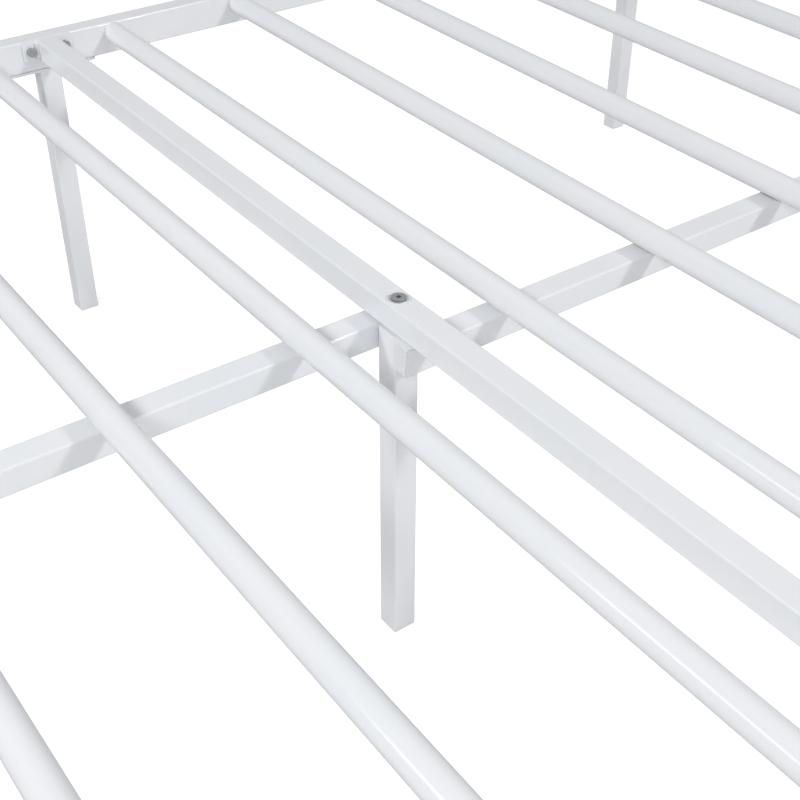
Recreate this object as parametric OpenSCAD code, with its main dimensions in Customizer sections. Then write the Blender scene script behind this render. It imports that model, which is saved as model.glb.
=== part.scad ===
// Low platform bed frame in white steel tube, bolted together from loose pieces.
// Origin on the floor under the centre leg. +X along the slats, +Y towards the head end, +Z up.

/* [Overall size] */
// Width over the side rails
frame_w = 1505; // [1350:5:1600]
// Length over the end rails
frame_l = 2032; // [1960:2:2150]
// Height of the tops of the slats and rails above the floor
top_h = 387.5; // [300:0.5:460]

/* [Tubes] */
// Side of the square tube of the legs, cross rail and centre beams, and diameter of the slats
tube_w = 25.4; // [24:0.1:28]
// Wall of the square tube
tube_wall = 1.2; // [1:0.1:1.5]
// Outer corner radius of the square tube and the rails
corner_r = 2; // [1.8:0.1:3]
// Height of the side rails and end rails
rail_h = 38.1; // [38:0.1:50]
// Wall of the side rails and end rails
rail_wall = 1.5; // [1.2:0.1:1.6]
// Wall of the round slats
slat_wall = 1; // [0.8:0.1:1.2]

/* [Slats] */
// Slats on each side of the cross rail
slats_per_half = 5; // [3:1:5]
// Distance from one slat to the next, and twice that from the cross rail to the first
slat_pitch = 177; // [150:1:180]

/* [Centre joint] */
// Gap between the centre leg and the beam that passes it
leg_gap = 0.6; // [0.2:0.1:6]
// How far the beam's front corner reaches past the middle of the leg
beam_overrun = 20.5; // [18:0.5:26]
// Thickness of the sheet steel brackets
sheet_t = 2; // [1.8:0.1:2.5]
// Depth of the bracket's lug below the cross rail
lug_depth = 33; // [29:0.5:45]
// Diameter of the centre bolt
centre_bolt_d = 8; // [6:1:8]
// Diameter of the flange under the centre bolt's head
centre_flange_d = 17.8; // [16:0.1:18]
// Hex socket of the centre bolt, across flats
centre_socket = 4; // [3:0.5:5]

/* [Fasteners] */
// Diameter of the other bolts
bolt_d = 6; // [5:0.5:6]
// Height of a weld nut
nut_h = 5; // [4:0.5:6]
// Length of a tapped plug in the end of a slat or rail
plug_l = 18; // [15:1:25]

/* [Middle legs and splices] */
// Length of the sleeve that joins the two halves of a side rail
splice_l = 160; // [130:5:170]
// Length of the plate on top of a middle leg
leg_plate_l = 120; // [110:2:150]
// Thickness of the plates on top of the legs
leg_plate_t = 3; // [2:0.5:4]

/* [Hidden] */
$fn = 48;
fit_gap = 0.6;
paint = [0.93, 0.935, 0.94];
zinc = [0.62, 0.63, 0.64];
plastic = [0.9, 0.9, 0.9];

// Heights
slat_low = top_h - tube_w;
beam_top = slat_low - sheet_t;
beam_low = beam_top - tube_w;
rail_low = top_h - rail_h;
rail_mid = top_h - rail_h / 2;
slat_z = top_h - tube_w / 2;
beam_z = beam_top - tube_w / 2;

// Places in plan
leg_x = frame_w / 2 - tube_w / 2;
end_y = frame_l / 2 - tube_w / 2;
inner_x = leg_x - tube_w / 2;
inner_y = end_y - tube_w / 2;
beam_x = tube_w + leg_gap;
beam_end_y = inner_y - sheet_t;

// Small bolts, their holes and nuts: a button head is a short cylinder under a cone
bolt_hole_d = bolt_d + fit_gap;
bolt_socket = 4;
head_d = 2 * bolt_d;
head_top_d = 0.6 * head_d;
head_h = 0.55 * bolt_d;
head_edge_h = 0.4 * head_h;
nut_af = bolt_d + 4;
plug_bolt_l = tube_w + plug_l - 4;

// Centre bolt: from the top down, a disc with the socket, a neck, a flange and the shank
centre_hole_d = centre_bolt_d + fit_gap;
centre_head_h = 1.8;
centre_disc_r = centre_flange_d / 2 - 2.2;
centre_disc_low = 1.3;
centre_disc_edge = 0.15;
centre_neck_r = centre_disc_r - 1.5;
centre_flange_h = 0.6;
centre_flange_edge = 1.2;
centre_socket_depth = 4;
centre_nut_af = centre_bolt_d + 5;
centre_nut_h = 0.8 * centre_bolt_d;

// Cup washer under the centre bolt's head
cup_d = centre_flange_d + 3.4;
cup_hollow_d = centre_flange_d + fit_gap;
cup_floor = 0.4;
cup_rim = 1;
cup_chamfer = 0.6;

// Plates and tubes inside tubes: corner radii
plate_r = 3;
hanger_plate_r = 4;
least_r = 0.3;

// Plugs that close the legs
foot_t = 2;
cap_t = 1.5;
foot_depth = 12;
cap_depth = 4;

// Bolts through the corner legs, at heights that let the two directions pass each other
side_bolt_z = [rail_mid - 11, rail_mid + 3];
end_bolt_z = [rail_mid - 4, rail_mid + 10];

// Bolts at the middle of the side rails
cross_bolt_y = 22;
leg_bolt_y = 45;
cross_plate_l = 64;

// Hangers that hold the beams' outer ends
hanger_reach = 40;
hanger_bolt_x = 24;
hanger_half_w = 34;
hanger_rise = 30;
hanger_cup_h = tube_w - 2;
hanger_bolt_y = beam_end_y - 20;

// Lug of the end brackets: it lies on the leg's side face, then turns out to the beam's corner
lug_bend_x = tube_w / 2 + leg_gap;
lug_end_x = beam_x + tube_w / 2 - 0.5;
lug_slope = (beam_overrun - sheet_t - tube_w / 2) / (lug_end_x - lug_bend_x);
lug_top_x = -7.5;
lug_tip_x = 8.9;
lug_step_x = 24;
lug_lip = 2.5;
flange_left = -9;
flange_r = 2.4;
flange_step_l = 6;
lip_l = 3;
lip_end_x = beam_x + tube_w / 2 - corner_r;
flange_step_h = 1.2;

// Distance of a slat from the cross rail, counted from 1
function slat_y(i) = (i - 0.5) * slat_pitch;

// Inner face of the lug beside the beam: how far out it is at x
function lug_y(x) = -tube_w / 2 - (x - lug_bend_x) * lug_slope;

// Rounded rectangle
module outline(w, h, r) {
    square([w - 2 * r, h], center = true);
    square([w, h - 2 * r], center = true);
    for (sx = [-1, 1], sy = [-1, 1])
        translate([sx * (w / 2 - r), sy * (h / 2 - r)]) circle(r = r);
}

// Section of a tube
module section(w, h, t) {
    difference() {
        outline(w, h, corner_r);
        outline(w - 2 * t, h - 2 * t, max(corner_r - t, least_r));
    }
}

// Turn what is drawn along Z to lie along X or Y, with the drawing's Y upwards
module along_x() rotate([90, 0, 90]) children();
module along_y() rotate([90, 0, 0]) children();

module hole(d, l) cylinder(d = d, h = l, center = true);

// Copies at both ends (turned), on both sides, or at all four corners (mirrored)
module both_ends() for (turn = [0, 180]) rotate([0, 0, turn]) children();
module both_sides() for (sx = [0, 1]) mirror([sx, 0, 0]) children();
module four_ways() for (sx = [0, 1], sy = [0, 1]) mirror([sx, 0, 0]) mirror([0, sy, 0]) children();

// Button-head bolt with a hex socket: the head stands on z = 0 and the shank hangs below
module small_bolt(l) {
    color(zinc) {
        difference() {
            union() {
                cylinder(d = head_d, h = head_edge_h);
                translate([0, 0, head_edge_h])
                    cylinder(d1 = head_d, d2 = head_top_d, h = head_h - head_edge_h);
            }
            translate([0, 0, head_edge_h]) cylinder(d = bolt_socket / cos(30), h = head_h, $fn = 6);
        }
        translate([0, 0, -l]) cylinder(d = bolt_d, h = l);
    }
}

// Hex nut on z = 0
module nut(af, d, h) {
    color(zinc) difference() {
        cylinder(d = af / cos(30), h = h, $fn = 6);
        translate([0, 0, h / 2]) hole(d, h + 1);
    }
}

module small_nut() nut(nut_af, bolt_d, nut_h);

// ---- Centre joint ----

module centre_cross_rail() {
    color(paint) translate([0, 0, slat_z]) difference() {
        along_x() linear_extrude(2 * (inner_x - sheet_t), center = true)
            section(tube_w, tube_w, tube_wall);
        hole(centre_hole_d, tube_w + 2);
    }
}

// Plate welded to each end of the cross rail
module cross_rail_plate() {
    color(paint) translate([inner_x - sheet_t, 0, slat_z]) along_x() difference() {
        linear_extrude(sheet_t) outline(cross_plate_l, tube_w, plate_r);
        for (sy = [-1, 1]) translate([sy * cross_bolt_y, 0, 0]) hole(bolt_hole_d, 3 * sheet_t);
    }
}

module left_cross_rail_plate() mirror([1, 0, 0]) cross_rail_plate();
module right_cross_rail_plate() cross_rail_plate();

module cross_rail_weld_nuts() {
    four_ways() translate([inner_x - sheet_t, cross_bolt_y, slat_z]) rotate([0, -90, 0]) small_nut();
}

module cross_rail_bolts() {
    four_ways() translate([frame_w / 2, cross_bolt_y, slat_z]) rotate([0, 90, 0])
        small_bolt(tube_w + sheet_t + nut_h);
}

module centre_bolt() {
    l = cup_floor + tube_w + sheet_t + leg_plate_t + centre_nut_h;
    edge_x = centre_flange_d / 2 - centre_flange_edge;
    rounded_edge = [for (a = [0 : 10 : 90])
        [edge_x + centre_flange_edge * cos(a), centre_flange_h * sin(a)]];
    color(zinc) translate([0, 0, top_h + cup_floor]) difference() {
        union() {
            rotate_extrude() polygon(concat([[0, 0]], rounded_edge, [
                [centre_neck_r, centre_flange_h], [centre_neck_r, centre_disc_low],
                [centre_disc_r, centre_disc_low], [centre_disc_r, centre_head_h - centre_disc_edge],
                [centre_disc_r - centre_disc_edge, centre_head_h], [0, centre_head_h]]));
            translate([0, 0, -l]) cylinder(d = centre_bolt_d, h = l);
        }
        translate([0, 0, centre_head_h - centre_socket_depth])
            cylinder(d = centre_socket / cos(30), h = centre_socket_depth + 1, $fn = 6);
    }
}

module centre_bolt_washer() {
    color(plastic) translate([0, 0, top_h]) difference() {
        union() {
            cylinder(d = cup_d, h = cup_rim - cup_chamfer);
            translate([0, 0, cup_rim - cup_chamfer])
                cylinder(d1 = cup_d, d2 = cup_d - 2 * cup_chamfer, h = cup_chamfer);
        }
        translate([0, 0, cup_floor]) cylinder(d = cup_hollow_d, h = cup_rim);
        hole(centre_hole_d, 4 * cup_rim);
    }
}

module centre_leg() {
    color(paint) translate([0, 0, foot_t])
        linear_extrude(slat_low - sheet_t - leg_plate_t - foot_t) section(tube_w, tube_w, tube_wall);
}

module centre_leg_top_plate() {
    color(paint) translate([0, 0, slat_low - sheet_t - leg_plate_t]) difference() {
        linear_extrude(leg_plate_t) outline(tube_w, tube_w, corner_r);
        hole(centre_bolt_d, 4 * leg_plate_t);
    }
}

module centre_leg_weld_nut() {
    translate([0, 0, slat_low - sheet_t - leg_plate_t - centre_nut_h])
        nut(centre_nut_af, centre_bolt_d, centre_nut_h);
}

// Bracket welded to the inner end of a beam: a flange bolted under the cross rail, and a lug that
// hangs from it over the side of the leg, closes the end of the tube and folds over its top
module beam_end_bracket() {
    leg = tube_w / 2;
    bend = leg - flange_r + sheet_t;
    lug_low = beam_low - slat_low;
    color(paint) {
        difference() {
            translate([(flange_left + leg) / 2, 0, slat_low]) along_x()
                linear_extrude(leg - flange_left, center = true) {
                    translate([-bend, -sheet_t]) square([bend - fit_gap, sheet_t]);
                    intersection() {
                        translate([-bend, -flange_r]) difference() {
                            circle(r = flange_r);
                            circle(r = flange_r - sheet_t);
                        }
                        translate([-bend - flange_r, -flange_r]) square(flange_r);
                    }
                }
            translate([0, 0, slat_low]) hole(centre_hole_d, 4 * sheet_t);
            // Pressed step that keeps the bend clear of the cross rail
            translate([flange_left - 1, -leg - sheet_t - 1, slat_low - flange_step_h])
                cube([leg - flange_left + 2, flange_step_l, flange_step_h + 1]);
        }
        // Lip that the lug folds into, over the flat of the beam's end
        translate([0, 0, beam_top]) linear_extrude(sheet_t) polygon([
            [lug_bend_x, -leg - sheet_t], [lip_end_x, lug_y(lip_end_x) - sheet_t],
            [lip_end_x, lip_l - leg], [lug_bend_x, lip_l - leg]]);
        difference() {
            translate([0, 0, slat_low - lug_depth]) linear_extrude(lug_depth) polygon([
                [flange_left, -leg], [flange_left, -leg - sheet_t], [lug_bend_x, -leg - sheet_t],
                [lug_end_x, lug_y(lug_end_x) - sheet_t], [lug_end_x, lug_y(lug_end_x)],
                [lug_bend_x, -leg]]);
            // The lug tapers to a low point near the leg's front edge, and stops level with the beam
            translate([0, 0, slat_low]) along_y() linear_extrude(4 * tube_w, center = true) {
                polygon([[flange_left - 1, 0], [lug_top_x, 0], [lug_tip_x, -lug_depth],
                         [lug_tip_x, -lug_depth - 1], [flange_left - 1, -lug_depth - 1]]);
                polygon([[lug_tip_x, -lug_depth - 1], [lug_tip_x, -lug_depth],
                         [lug_step_x, lug_low - lug_lip], [lug_end_x, lug_low],
                         [lug_end_x + 1, lug_low], [lug_end_x + 1, -lug_depth - 1]]);
            }
            // Room for the bend into the flange
            translate([flange_left - 1, -leg - sheet_t - 1, slat_low - flange_r])
                cube([leg - flange_left + 1, sheet_t + 1.01, flange_r + 1]);
        }
    }
}

module head_beam_end_bracket() beam_end_bracket();
module foot_beam_end_bracket() rotate([0, 0, 180]) beam_end_bracket();

// Beam that runs from the leg to an end rail, passing the leg on one side
module centre_beam() {
    l = beam_end_y + beam_overrun;
    color(paint) difference() {
        translate([beam_x, beam_end_y - l / 2, beam_z]) along_y()
            linear_extrude(l, center = true) section(tube_w, tube_w, tube_wall);
        // End cut at a slant, to meet the bracket's lug
        translate([0, 0, beam_low - 1]) linear_extrude(tube_w + 2) polygon([
            [beam_x - tube_w, lug_y(beam_x - tube_w)], [beam_x + tube_w, lug_y(beam_x + tube_w)],
            [beam_x + tube_w, -2 * tube_w], [beam_x - tube_w, -2 * tube_w]]);
        translate([beam_x, hanger_bolt_y, beam_low]) hole(bolt_hole_d, 4 * tube_wall);
    }
}

module head_centre_beam() centre_beam();
module foot_centre_beam() rotate([0, 0, 180]) centre_beam();

// ---- Hangers that hold the beams on the end rails ----

// Cup of folded sheet, open at the top and towards the middle, on a back plate
module beam_hanger() {
    half = tube_w / 2 + sheet_t;
    low = beam_low - sheet_t;
    color(paint) difference() {
        union() {
            translate([beam_x - half, inner_y - hanger_reach, low])
                cube([2 * half, hanger_reach, sheet_t]);
            for (x = [beam_x - half, beam_x + half - sheet_t])
                translate([x, inner_y - hanger_reach, low]) cube([sheet_t, hanger_reach, hanger_cup_h]);
            translate([beam_x - half, inner_y - sheet_t, low]) cube([2 * half, sheet_t, tube_w]);
            translate([beam_x, inner_y, rail_low + hanger_rise / 2]) along_y()
                linear_extrude(sheet_t) outline(2 * hanger_half_w, hanger_rise, hanger_plate_r);
        }
        translate([beam_x, hanger_bolt_y, low]) hole(bolt_hole_d, 4 * sheet_t);
        for (s = [-1, 1]) translate([beam_x + s * hanger_bolt_x, inner_y, rail_mid])
            along_y() hole(bolt_hole_d, 4 * sheet_t);
    }
}

module head_beam_hanger() beam_hanger();
module foot_beam_hanger() rotate([0, 0, 180]) beam_hanger();

module hanger_rail_bolts() {
    both_ends() for (s = [-1, 1]) translate([beam_x + s * hanger_bolt_x, frame_l / 2, rail_mid])
        rotate([-90, 0, 0]) small_bolt(tube_w + sheet_t + nut_h);
}

module hanger_weld_nuts() {
    both_ends() for (s = [-1, 1]) translate([beam_x + s * hanger_bolt_x, inner_y - sheet_t, rail_mid])
        rotate([90, 0, 0]) small_nut();
}

module hanger_beam_bolts() {
    both_ends() translate([beam_x, hanger_bolt_y, beam_low - sheet_t]) rotate([180, 0, 0])
        small_bolt(sheet_t + tube_wall + nut_h);
}

module beam_weld_nuts() {
    both_ends() translate([beam_x, hanger_bolt_y, beam_low + tube_wall]) small_nut();
}

// ---- Slats ----

module slat(y) {
    color(paint) translate([0, y, slat_z]) along_x() difference() {
        hole(tube_w, 2 * inner_x);
        hole(tube_w - 2 * slat_wall, 2 * inner_x + 2);
    }
}

// Places of the slats' ends along the right side
module at_slat_ends(x) {
    for (sy = [-1, 1], i = [1 : slats_per_half])
        translate([x, sy * slat_y(i), slat_z]) rotate([0, 90, 0]) children();
}

// Tapped plugs pressed into the ends of the slats
module slat_plugs() {
    color(zinc) at_slat_ends(inner_x) translate([0, 0, -plug_l / 2]) difference() {
        hole(tube_w - 2 * slat_wall, plug_l);
        hole(bolt_d, plug_l + 2);
    }
}

module left_slat_plugs() mirror([1, 0, 0]) slat_plugs();
module right_slat_plugs() slat_plugs();

module slat_bolts() at_slat_ends(frame_w / 2) small_bolt(plug_bolt_l);

module left_slat_bolts() mirror([1, 0, 0]) slat_bolts();
module right_slat_bolts() slat_bolts();

// ---- Side rails ----

// Half of the right side rail, from the middle to the head-end leg
module side_rail() {
    color(paint) difference() {
        translate([leg_x, inner_y / 2, rail_mid]) along_y()
            linear_extrude(inner_y, center = true) section(tube_w, rail_h, rail_wall);
        for (y = concat([cross_bolt_y], [for (i = [1 : slats_per_half]) slat_y(i)]))
            translate([leg_x, y, slat_z]) along_x() hole(bolt_hole_d, tube_w + 2);
        translate([leg_x, leg_bolt_y, rail_low]) hole(bolt_hole_d, 4 * rail_wall);
    }
}

module right_head_side_rail() side_rail();
module left_head_side_rail() mirror([1, 0, 0]) side_rail();
module right_foot_side_rail() mirror([0, 1, 0]) side_rail();
module left_foot_side_rail() rotate([0, 0, 180]) side_rail();

// Sleeve inside both halves of a side rail
module rail_splice() {
    w = tube_w - 2 * rail_wall;
    h = rail_h - 2 * rail_wall;
    color(zinc) difference() {
        translate([leg_x, 0, rail_mid]) along_y() linear_extrude(splice_l, center = true) difference() {
            outline(w, h, max(corner_r - rail_wall, least_r));
            outline(w - 2 * rail_wall, h - 2 * rail_wall, least_r);
        }
        for (sy = [-1, 1]) {
            translate([leg_x, sy * cross_bolt_y, slat_z]) along_x() hole(bolt_hole_d, tube_w);
            translate([leg_x, sy * leg_bolt_y, rail_low]) hole(bolt_hole_d, 8 * rail_wall);
        }
    }
}

module right_rail_splice() rail_splice();
module left_rail_splice() mirror([1, 0, 0]) rail_splice();

module splice_weld_nuts() {
    four_ways() translate([leg_x, leg_bolt_y, rail_low + 2 * rail_wall]) small_nut();
}

// Tapped plugs in the corner ends of the side rails
module side_rail_end_plugs() {
    color(zinc) four_ways() difference() {
        translate([leg_x, inner_y, rail_mid]) along_y() linear_extrude(plug_l)
            outline(tube_w - 2 * rail_wall, rail_h - 2 * rail_wall, max(corner_r - rail_wall, least_r));
        for (z = side_bolt_z) translate([leg_x, inner_y, z]) along_y() hole(bolt_d, 3 * plug_l);
    }
}

module side_rail_corner_bolts() {
    four_ways() for (z = side_bolt_z) translate([leg_x, frame_l / 2, z]) rotate([-90, 0, 0])
        small_bolt(plug_bolt_l);
}

// ---- End rails ----

module end_rail() {
    color(paint) translate([0, end_y, rail_mid]) difference() {
        along_x() linear_extrude(2 * inner_x, center = true) section(tube_w, rail_h, rail_wall);
        for (s = [-1, 1]) translate([beam_x + s * hanger_bolt_x, 0, 0]) along_y()
            hole(bolt_hole_d, tube_w + 2);
    }
}

module head_end_rail() end_rail();
module foot_end_rail() rotate([0, 0, 180]) end_rail();

module end_rail_end_plugs() {
    color(zinc) four_ways() difference() {
        translate([inner_x - plug_l, end_y, rail_mid]) along_x() linear_extrude(plug_l)
            outline(tube_w - 2 * rail_wall, rail_h - 2 * rail_wall, max(corner_r - rail_wall, least_r));
        for (z = end_bolt_z) translate([inner_x, end_y, z]) along_x() hole(bolt_d, 3 * plug_l);
    }
}

module end_rail_corner_bolts() {
    four_ways() for (z = end_bolt_z) translate([frame_w / 2, end_y, z]) rotate([0, 90, 0])
        small_bolt(plug_bolt_l);
}

// ---- Outer legs ----

module middle_leg() {
    color(paint) translate([leg_x, 0, foot_t])
        linear_extrude(rail_low - leg_plate_t - foot_t) section(tube_w, tube_w, tube_wall);
}

module right_middle_leg() middle_leg();
module left_middle_leg() mirror([1, 0, 0]) middle_leg();

// Plates welded to the tops of the middle legs
module middle_leg_plates() {
    color(paint) both_sides() translate([leg_x, 0, rail_low - leg_plate_t]) difference() {
        linear_extrude(leg_plate_t) outline(tube_w, leg_plate_l, plate_r);
        for (sy = [-1, 1]) translate([0, sy * leg_bolt_y, 0]) hole(bolt_hole_d, 4 * leg_plate_t);
    }
}

module middle_leg_bolts() {
    four_ways() translate([leg_x, leg_bolt_y, rail_low - leg_plate_t]) rotate([180, 0, 0])
        small_bolt(leg_plate_t + 2 * rail_wall + nut_h);
}

module corner_leg() {
    color(paint) translate([leg_x, end_y, 0]) difference() {
        translate([0, 0, foot_t]) linear_extrude(top_h - cap_t - foot_t)
            section(tube_w, tube_w, tube_wall);
        for (z = side_bolt_z) translate([0, 0, z]) along_y() hole(bolt_hole_d, tube_w + 2);
        for (z = end_bolt_z) translate([0, 0, z]) along_x() hole(bolt_hole_d, tube_w + 2);
    }
}

module right_head_leg() corner_leg();
module left_head_leg() mirror([1, 0, 0]) corner_leg();
module right_foot_leg() mirror([0, 1, 0]) corner_leg();
module left_foot_leg() rotate([0, 0, 180]) corner_leg();

// ---- Plastic plugs in the ends of the legs ----

// Plug with a flange from z = 0 up to flange_t, and a body that goes on to depth
module leg_plug(flange_t, depth) {
    inner = tube_w - 2 * tube_wall;
    color(plastic) {
        linear_extrude(flange_t) outline(tube_w, tube_w, corner_r);
        linear_extrude(flange_t + depth) outline(inner, inner, max(corner_r - tube_wall, least_r));
    }
}

module centre_leg_foot() leg_plug(foot_t, foot_depth);
module middle_leg_feet() both_sides() translate([leg_x, 0, 0]) leg_plug(foot_t, foot_depth);
module corner_leg_feet() four_ways() translate([leg_x, end_y, 0]) leg_plug(foot_t, foot_depth);
module corner_leg_caps() {
    four_ways() translate([leg_x, end_y, top_h]) rotate([180, 0, 0]) leg_plug(cap_t, cap_depth);
}

centre_cross_rail();
left_cross_rail_plate();
right_cross_rail_plate();
cross_rail_weld_nuts();
cross_rail_bolts();
centre_bolt();
centre_bolt_washer();
centre_leg();
centre_leg_top_plate();
centre_leg_weld_nut();
head_centre_beam();
foot_centre_beam();
head_beam_end_bracket();
foot_beam_end_bracket();
head_beam_hanger();
foot_beam_hanger();
hanger_rail_bolts();
hanger_weld_nuts();
hanger_beam_bolts();
beam_weld_nuts();
for (i = [1 : slats_per_half]) {
    slat(slat_y(i));
    slat(-slat_y(i));
}
left_slat_plugs();
right_slat_plugs();
left_slat_bolts();
right_slat_bolts();
left_head_side_rail();
left_foot_side_rail();
right_head_side_rail();
right_foot_side_rail();
left_rail_splice();
right_rail_splice();
splice_weld_nuts();
left_middle_leg();
right_middle_leg();
middle_leg_plates();
middle_leg_bolts();
head_end_rail();
foot_end_rail();
left_head_leg();
right_head_leg();
left_foot_leg();
right_foot_leg();
side_rail_end_plugs();
end_rail_end_plugs();
side_rail_corner_bolts();
end_rail_corner_bolts();
corner_leg_caps();
centre_leg_foot();
middle_leg_feet();
corner_leg_feet();
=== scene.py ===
"""Looks of the metal bed frame: painted steel tube, zinc-plated fasteners and white plastic plugs.

Everything is in metres, in the CAD frame: origin on the floor under the centre leg, +X along the
slats, +Y towards the head end, +Z up.
"""
import math

import bmesh
import bpy
from mathutils import Matrix, Vector


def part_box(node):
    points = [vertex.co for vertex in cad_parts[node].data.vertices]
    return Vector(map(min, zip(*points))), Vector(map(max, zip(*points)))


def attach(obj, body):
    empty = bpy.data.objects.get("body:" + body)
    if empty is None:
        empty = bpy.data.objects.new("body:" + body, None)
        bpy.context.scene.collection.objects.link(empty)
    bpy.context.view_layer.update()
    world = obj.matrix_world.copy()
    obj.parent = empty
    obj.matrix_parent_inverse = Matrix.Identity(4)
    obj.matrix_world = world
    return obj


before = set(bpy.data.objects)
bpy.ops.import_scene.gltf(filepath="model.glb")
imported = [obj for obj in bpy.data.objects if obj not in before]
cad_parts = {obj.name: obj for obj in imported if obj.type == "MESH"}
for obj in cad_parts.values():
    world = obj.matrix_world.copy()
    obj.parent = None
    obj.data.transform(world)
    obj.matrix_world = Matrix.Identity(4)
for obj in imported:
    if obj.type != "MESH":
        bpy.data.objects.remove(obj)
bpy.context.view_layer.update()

MM = 0.001
BODY = "root"
X, Y, Z = Vector((1, 0, 0)), Vector((0, 1, 0)), Vector((0, 0, 1))
SIDES = {"left": -1, "right": 1}
ENDS = {"foot": -1, "head": 1}

# ---- Sizes of the CAD nodes ----

# The square tube is as wide as the round slats, and its corners have this radius
SLAT_LOW, SLAT_HIGH = (corner.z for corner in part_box("head_slat_1"))
TUBE_W = SLAT_HIGH - SLAT_LOW
CORNER_R = 2.0 * MM

# Brackets of this sheet fill the gap between the cross rail and the centre leg's top plate
SHEET_T = SLAT_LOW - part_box("centre_leg_top_plate")[1].z

# The centre bolt's disc stays this far inside the edge of its flange
DISC_INSET = 2.2 * MM
BOLT_DISC_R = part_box("centre_bolt")[1].x - DISC_INSET
DISC_EDGE_BLEND = 0.1 * MM
# The rings that the lathe leaves on it come about every third of this length
RING_SIZE = 0.35 * MM

# The side walls of a hanger's cup end this far below the top of the beam in it
CUP_DROP = 4.0 * MM


def nodes_like(*endings):
    """The CAD nodes whose names end in one of these words."""
    return [name for name in sorted(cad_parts) if name.endswith(endings)]


# ---- Materials ----

# A mix node has sockets for every kind of value. These are the share and the ones for colours
MIX_SHARE, MIX_FIRST, MIX_SECOND, MIX_RESULT = 0, 6, 7, 2


def add_node(tree, kind, values=None, **settings):
    """A new node with these settings. Each of values is a constant, or an output to link to that input."""
    made = tree.nodes.new(kind)
    for key, value in settings.items():
        setattr(made, key, value)
    for socket, value in (values or {}).items():
        if isinstance(value, bpy.types.NodeSocket):
            tree.links.new(value, made.inputs[socket])
        else:
            made.inputs[socket].default_value = value
    return made


def tint(red, green, blue):
    """An opaque colour, as sockets take it."""
    return (red, green, blue, 1.0)


class Finish:
    """One material, with short calls for the nodes that every finish uses."""

    def __init__(self, name, **constants):
        self.material = bpy.data.materials.new(name)
        self.material.use_nodes = True
        self.tree = self.material.node_tree
        self.shader = self.tree.nodes["Principled BSDF"]
        for socket, value in constants.items():
            self.shader.inputs[socket.replace("_", " ")].default_value = value
        self.place = self.node("ShaderNodeTexCoord").outputs["Object"]
        self.normal = None

    def node(self, kind, values=None, **settings):
        return add_node(self.tree, kind, values, **settings)

    def noise(self, grain, detail=2.0, seed=0.0):
        """Noise whose features are about grain metres across."""
        values = {"Vector": self.place, "W": seed, "Scale": 1 / grain, "Detail": detail}
        return self.node("ShaderNodeTexNoise", values, noise_dimensions="4D").outputs["Fac"]

    def spread(self, value, low, high, start=0.3, stop=0.7):
        """A value between start and stop, stretched to lie between low and high."""
        values = {"Value": value, "From Min": start, "From Max": stop, "To Min": low, "To Max": high}
        return self.node("ShaderNodeMapRange", values).outputs[0]

    def mix(self, share, first, second):
        """The first colour where share is 0, the second where it is 1."""
        values = {MIX_SHARE: share, MIX_FIRST: first, MIX_SECOND: second}
        return self.node("ShaderNodeMix", values, data_type="RGBA").outputs[MIX_RESULT]

    def colour(self, value):
        self.tree.links.new(value, self.shader.inputs["Base Color"])

    def roughness(self, value):
        self.tree.links.new(value, self.shader.inputs["Roughness"])

    def bump(self, height, depth, strength):
        """Relief depth metres deep, on top of the reliefs added before."""
        values = {"Height": height, "Distance": depth, "Strength": strength}
        if self.normal:
            values["Normal"] = self.normal
        self.normal = self.node("ShaderNodeBump", values).outputs[0]
        self.tree.links.new(self.normal, self.shader.inputs["Normal"])


def powder_coat():
    """White gloss powder coat: a slight drift in tone, soft waves, and orange peel about 2 mm across."""
    finish = Finish("white_powder_coat", Specular_IOR_Level=0.2, Coat_Weight=0.6, Coat_Roughness=0.09)
    drift = finish.spread(finish.noise(120 * MM, seed=1.0), 0, 1)
    finish.colour(finish.mix(drift, tint(0.765, 0.785, 0.812), tint(0.785, 0.796, 0.818)))
    finish.roughness(finish.spread(finish.noise(30 * MM, detail=4.0, seed=3.0), 0.29, 0.37))
    waves = finish.noise(22 * MM, detail=1.0, seed=4.0)
    finish.bump(waves, depth=0.05 * MM, strength=0.6)
    orange_peel = finish.noise(2.2 * MM, detail=2.0, seed=5.0)
    finish.bump(orange_peel, depth=0.010 * MM, strength=0.7)
    return finish.material


def zinc_plate():
    """Zinc plate on the fasteners: mottled grey with a fine grain."""
    finish = Finish("zinc_plate", Metallic=1.0)
    mottle = finish.spread(finish.noise(3.5 * MM, detail=4.0, seed=6.0), 0, 1)
    finish.colour(finish.mix(mottle, tint(0.42, 0.43, 0.44), tint(0.60, 0.61, 0.62)))
    finish.roughness(finish.spread(finish.noise(1.2 * MM, detail=5.0, seed=7.0), 0.28, 0.5))
    grain = finish.noise(0.5 * MM, detail=3.0, seed=8.0)
    finish.bump(grain, depth=0.02 * MM, strength=0.6)
    return finish.material


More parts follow.
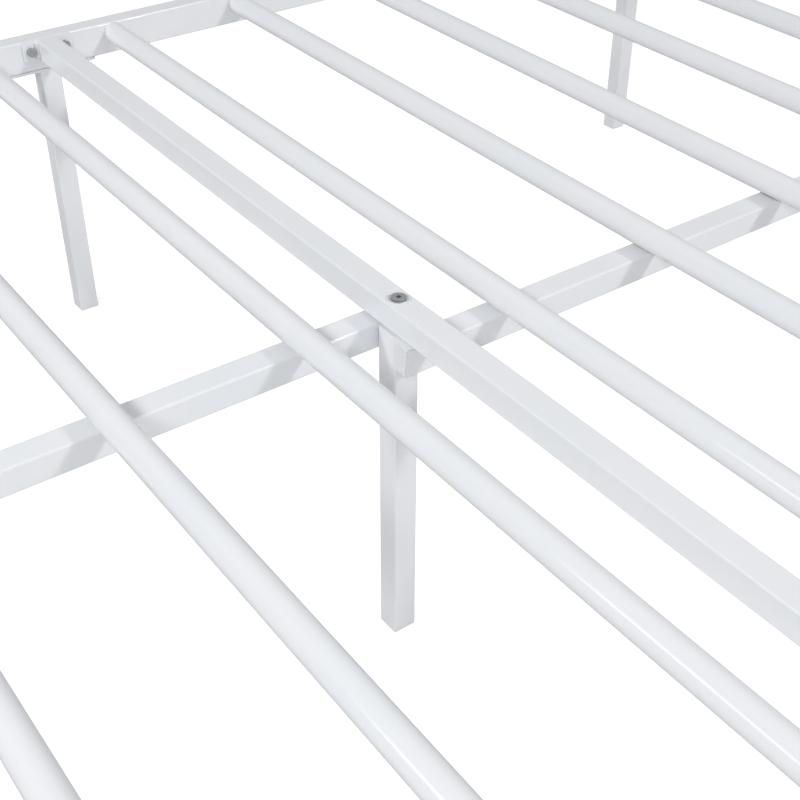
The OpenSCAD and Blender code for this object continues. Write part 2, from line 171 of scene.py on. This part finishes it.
def turned_steel():
    """The centre bolt: a dull grey disc with the rings that a lathe leaves, on a flange painted brighter,
    a painted highlight standing in for the glint on its rounded edge.
    """
    finish = Finish("turned_steel", Metallic=0.85)
    flat = finish.node("ShaderNodeVectorMath", {0: finish.place, 1: X + Y}, operation="MULTIPLY")
    radius = finish.node("ShaderNodeVectorMath", {0: flat.outputs[0]}, operation="LENGTH").outputs["Value"]
    on_flange = finish.spread(radius, 0, 1, start=BOLT_DISC_R, stop=BOLT_DISC_R + DISC_EDGE_BLEND)
    mottle = finish.spread(finish.noise(2.0 * MM, detail=4.0, seed=9.0), 0, 1)
    disc = finish.mix(mottle, tint(0.48, 0.51, 0.53), tint(0.58, 0.61, 0.63))
    # Painted highlight: the flange is coloured much brighter than the disc to stand in for the glint on
    # its rounded edge
    painted_glint_flange = finish.mix(mottle, tint(0.84, 0.86, 0.88), tint(0.92, 0.93, 0.94))
    finish.colour(finish.mix(on_flange, disc, painted_glint_flange))
    finish.roughness(finish.spread(finish.noise(0.8 * MM, detail=4.0, seed=10.0), 0.29, 0.42))
    values = {"Vector": finish.place, "Scale": 1 / RING_SIZE, "Distortion": 0.15, "Detail": 2.0}
    rings = finish.node("ShaderNodeTexWave", values, wave_type="RINGS", rings_direction="Z")
    finish.bump(rings.outputs["Fac"], depth=0.006 * MM, strength=0.5)
    grain = finish.noise(0.4 * MM, detail=3.0, seed=11.0)
    finish.bump(grain, depth=0.008 * MM, strength=0.5)
    return finish.material


def moulded_plastic():
    """White moulded plastic: dull, with the fine spark-eroded grain of the mould."""
    finish = Finish("white_plastic_moulded", Specular_IOR_Level=0.45)
    drift = finish.spread(finish.noise(8 * MM, detail=3.0, seed=12.0), 0, 1)
    finish.colour(finish.mix(drift, tint(0.70, 0.71, 0.72), tint(0.74, 0.745, 0.75)))
    finish.roughness(finish.spread(finish.noise(2 * MM, detail=4.0, seed=13.0), 0.42, 0.56))
    grain = finish.noise(0.6 * MM, detail=3.0, seed=14.0)
    finish.bump(grain, depth=0.02 * MM, strength=0.6)
    return finish.material


PAINT, ZINC, STEEL, PLASTIC = powder_coat(), zinc_plate(), turned_steel(), moulded_plastic()
FINISHES = {"white_paint": PAINT, "zinc_fastener": ZINC, "white_plastic": PLASTIC}

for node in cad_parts.values():
    for slot in node.material_slots:
        slot.material = FINISHES[slot.material.name.split(".")[0]]
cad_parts["centre_bolt"].material_slots[0].material = STEEL


# ---- Rounded edges on the fastener, sheet and plastic nodes ----

FASTENER_EDGE_R = 0.25 * MM
SHEET_EDGE_R = 0.35 * MM
PLASTIC_EDGE_R = 0.5 * MM
CENTRE_BOLT_EDGE_R = 0.2 * MM
EDGE_STEPS = 2
SHARP_ANGLE = math.radians(35)
MERGE_DISTANCE = 0.001 * MM


def soften(names, radius):
    """Rounds the sharp edges of these nodes. Their meshes stay as the CAD made them."""
    for name in names:
        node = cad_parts[name]
        join = node.modifiers.new("join", "WELD")
        join.merge_threshold = MERGE_DISTANCE
        bevel = node.modifiers.new("edges", "BEVEL")
        bevel.width, bevel.segments = radius, EDGE_STEPS
        bevel.limit_method, bevel.angle_limit = "ANGLE", SHARP_ANGLE
        bevel.use_clamp_overlap = True
        smooth = node.modifiers.new("shading", "WEIGHTED_NORMAL")
        smooth.keep_sharp = False


soften(nodes_like("_bolts", "_nuts", "_nut"), FASTENER_EDGE_R)
soften(nodes_like("_plate", "_plates", "_bracket", "_hanger"), SHEET_EDGE_R)
soften(nodes_like("_caps", "_feet", "_foot"), PLASTIC_EDGE_R)
soften(("centre_bolt", "centre_bolt_washer"), CENTRE_BOLT_EDGE_R)


# ---- Weld beads ----

# A bead's leg is its size on each of the two faces
BEAD_LEG = 4.0 * MM
HANGER_BEAD_LEG = 3.0 * MM
# A hanger's beads stop this far from the edges of its sheet
BEAD_MARGIN = 1.0 * MM
# The root of a bead lies this deep behind both faces, so that no gap shows
ROOT_DEPTH = 0.3 * MM
# Length of a ripple. The valleys are this share of the leg, and the crests rise by this much more of it.
# The lower the power, the broader the crests
RIPPLE = 1.5 * MM
VALLEY, CREST, CREST_POWER = 0.92, 0.14, 0.6
# How far the middle of the face falls short of a quarter circle, and how far it leans along the bead
FLATNESS, LEAN = 0.22, 0.18
# Size at the very ends, as a share of the full size
END_SIZE = 0.25
STEPS_PER_RIPPLE = 6
ARC_STEPS = 6


def bead_ring(corner, along, side_a, side_b, leg, size):
    """The bead's outline at this point of the corner: its root, then its face from side_a to side_b."""
    points = [corner - (side_a + side_b) * ROOT_DEPTH]
    for k in range(ARC_STEPS + 1):
        turn = math.pi / 2 * k / ARC_STEPS
        middle = math.sin(2 * turn)
        outward = side_a * math.cos(turn) + side_b * math.sin(turn)
        lean = along * (leg * LEAN * middle)
        points.append(corner + lean + outward * size * (1.0 - FLATNESS * middle))
    return points


def weld_bead(name, start, end, side_a, side_b, leg=BEAD_LEG):
    """A rippled fillet bead from start to end, in the corner between the faces along side_a and side_b.

    Its face bulges a little, and it tapers towards both ends."""
    length = (end - start).length
    along = (end - start) / length
    steps = round(length / RIPPLE * STEPS_PER_RIPPLE)
    bm = bmesh.new()
    rings = []
    for i in range(steps + 1):
        s = length * i / steps
        crest = math.sin(math.pi * (s / RIPPLE % 1.0)) ** CREST_POWER
        taper = min(1.0, math.sqrt(max(0.0, min(s, length - s)) / leg) + END_SIZE)
        size = leg * (VALLEY + CREST * crest) * taper
        ring = bead_ring(start + along * s, along, side_a, side_b, leg, size)
        rings.append([bm.verts.new(point) for point in ring])
    for first, second in zip(rings, rings[1:]):
        for k in range(len(first)):
            j = (k + 1) % len(first)
            bm.faces.new((first[k], first[j], second[j], second[k]))
    bm.faces.new(rings[0][::-1])
    bm.faces.new(rings[-1])
    bmesh.ops.recalc_face_normals(bm, faces=bm.faces)
    mesh = bpy.data.meshes.new(name)
    bm.to_mesh(mesh)
    bm.free()
    mesh.shade_smooth()
    bead = bpy.data.objects.new(name, mesh)
    bpy.context.scene.collection.objects.link(bead)
    mesh.materials.append(PAINT)
    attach(bead, BODY)


def cross_rail_beads():
    """Upright beads where the cross rail's two side faces meet its end plates."""
    low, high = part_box("centre_cross_rail")
    for side, sx in SIDES.items():
        for end, sy in ENDS.items():
            x, y = sx * high.x, sy * high.y
            bottom, top = Vector((x, y, low.z + CORNER_R)), Vector((x, y, high.z - CORNER_R))
            weld_bead(f"{side}_cross_rail_bead_{end}", bottom, top, -sx * X, sy * Y)


def middle_leg_beads():
    """Beads under the plates of the middle legs, along each leg's faces towards the foot and the head."""
    for side in SIDES:
        low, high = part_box(f"{side}_middle_leg")
        for end, y in (("foot", low.y), ("head", high.y)):
            left = Vector((low.x + CORNER_R, y, high.z))
            right = Vector((high.x - CORNER_R, y, high.z))
            weld_bead(f"{side}_middle_leg_bead_{end}", left, right, ENDS[end] * Y, -Z)


def hanger_beads():
    """Short beads where the cup of each hanger meets its back plate."""
    rail_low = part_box("head_end_rail")[0].z
    for end, sy in ENDS.items():
        low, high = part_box(f"{end}_centre_beam")
        cup_top = low.z + TUBE_W - CUP_DROP
        y = sy * (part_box("head_end_rail")[0].y - SHEET_T)
        for side, x in (("left", low.x - SHEET_T), ("right", high.x + SHEET_T)):
            bottom, top = Vector((x, y, rail_low + BEAD_MARGIN)), Vector((x, y, cup_top - BEAD_MARGIN))
            weld_bead(f"{end}_hanger_bead_{side}", bottom, top, SIDES[side] * X, -sy * Y, HANGER_BEAD_LEG)


cross_rail_beads()
middle_leg_beads()
hanger_beads()


# ---- Stage: floor, lights and camera ----

FLOOR_HALF_WIDTH = 30.0


def floor(name, glow, depth):
    """A plain pale floor this far under the feet. It doesn't mirror in the paint."""
    finish = Finish(name, Roughness=0.9, Emission_Strength=glow)
    shade = finish.spread(finish.noise(600 * MM, seed=20.0), 0, 1)
    finish.colour(finish.mix(shade, tint(0.60, 0.60, 0.60), tint(0.62, 0.62, 0.62)))
    finish.shader.inputs["Emission Color"].default_value = tint(1, 1, 1)
    mesh = bpy.data.meshes.new(name)
    corners = [(x * FLOOR_HALF_WIDTH, y * FLOOR_HALF_WIDTH, -depth)
               for x, y in ((-1, -1), (1, -1), (1, 1), (-1, 1))]
    mesh.from_pydata(corners, [], [(0, 1, 2, 3)])
    mesh.materials.append(finish.material)
    made = bpy.data.objects.new(name, mesh)
    bpy.context.scene.collection.objects.link(made)
    made.visible_glossy = False
    return made


def floors():
    """The camera sees a bright floor, and the frame is lit by one that throws up less light."""
    seen = floor("floor", glow=0.62, depth=0.5 * MM)
    seen.visible_diffuse = False
    seen.visible_shadow = False
    bounce = floor("bounce_floor", glow=0.17, depth=1.5 * MM)
    bounce.visible_camera = False


def room(strength=0.44, lean=(0.10, 0.12, 0.0), backdrop=0.90):
    """A dim room, brighter towards where lean points. Beyond the floor the camera sees a pale backdrop."""
    world = bpy.data.worlds.new("studio")
    bpy.context.scene.world = world
    world.use_nodes = True
    tree = world.node_tree
    direction = add_node(tree, "ShaderNodeTexCoord").outputs["Generated"]
    share = add_node(tree, "ShaderNodeVectorMath", {0: direction, 1: lean}, operation="DOT_PRODUCT")
    light = add_node(tree, "ShaderNodeMath", {0: share.outputs["Value"], 1: strength}, operation="ADD")
    to_camera = add_node(tree, "ShaderNodeLightPath").outputs["Is Camera Ray"]
    seen = add_node(tree, "ShaderNodeMix", {"Factor": to_camera, "A": light.outputs[0], "B": backdrop})
    background = tree.nodes["Background"]
    tree.links.new(seen.outputs["Result"], background.inputs["Strength"])
    background.inputs["Color"].default_value = tint(0.985, 0.99, 1.0)


def softbox(name, place, size, brightness):
    """A rectangular light with its width level, aimed at the middle of the frame's top.

    Its brightness is what it gives a white card held there."""
    back = Vector(place) - Vector((0, 0, SLAT_HIGH))
    distance = back.length
    back.normalize()
    lamp = bpy.data.lights.new(name, "AREA")
    lamp.shape, lamp.size, lamp.size_y = "RECTANGLE", size[0], size[1]
    lamp.energy = brightness * (math.pi * distance) ** 2
    made = bpy.data.objects.new(name, lamp)
    across = Z.cross(back).normalized()
    turn = Matrix((across, back.cross(across), back)).transposed().to_4x4()
    made.matrix_world = Matrix.Translation(place) @ turn
    bpy.context.scene.collection.objects.link(made)
    made.visible_camera = False
    return made


def lights():
    """A key light from the right, two from beyond the foot end that don't mirror in the paint, and a
    gleam that only mirrors in it."""
    softbox("side_key", (4.3, 2.6, 3.8), size=(0.6, 0.6), brightness=0.30)
    foot_keys = {"left_foot_key": (-1.48, -2.76, 2.87), "right_foot_key": (1.9, -2.5, 2.87)}
    for name, place in foot_keys.items():
        softbox(name, place, size=(0.8, 0.8), brightness=0.34).visible_glossy = False
    gleam = softbox("gleam", (-0.97, -2.95, 1.95), size=(1.0, 0.8), brightness=0.11)
    gleam.visible_diffuse = False


def camera():
    """At the photograph's viewing angle: above the right side rail, a little towards the foot end, and
    looking down towards the left head corner."""
    place = (0.7542, -0.5481, 0.9752)
    turn, pitch, roll = math.radians(53.90), math.radians(53.32), math.radians(0.23)
    lens = bpy.data.cameras.new("camera")
    lens.sensor_width, lens.lens = 36.0, 58.46
    lens.clip_start, lens.clip_end = 0.01, 100.0
    made = bpy.data.objects.new("camera", lens)
    spin = Matrix.Rotation(turn, 4, "Z") @ Matrix.Rotation(pitch, 4, "X") @ Matrix.Rotation(roll, 4, "Z")
    made.matrix_world = Matrix.Translation(place) @ spin
    bpy.context.scene.collection.objects.link(made)
    bpy.context.scene.camera = made


floors()
room()
lights()
camera()
bpy.context.scene.view_settings.view_transform = "Standard"
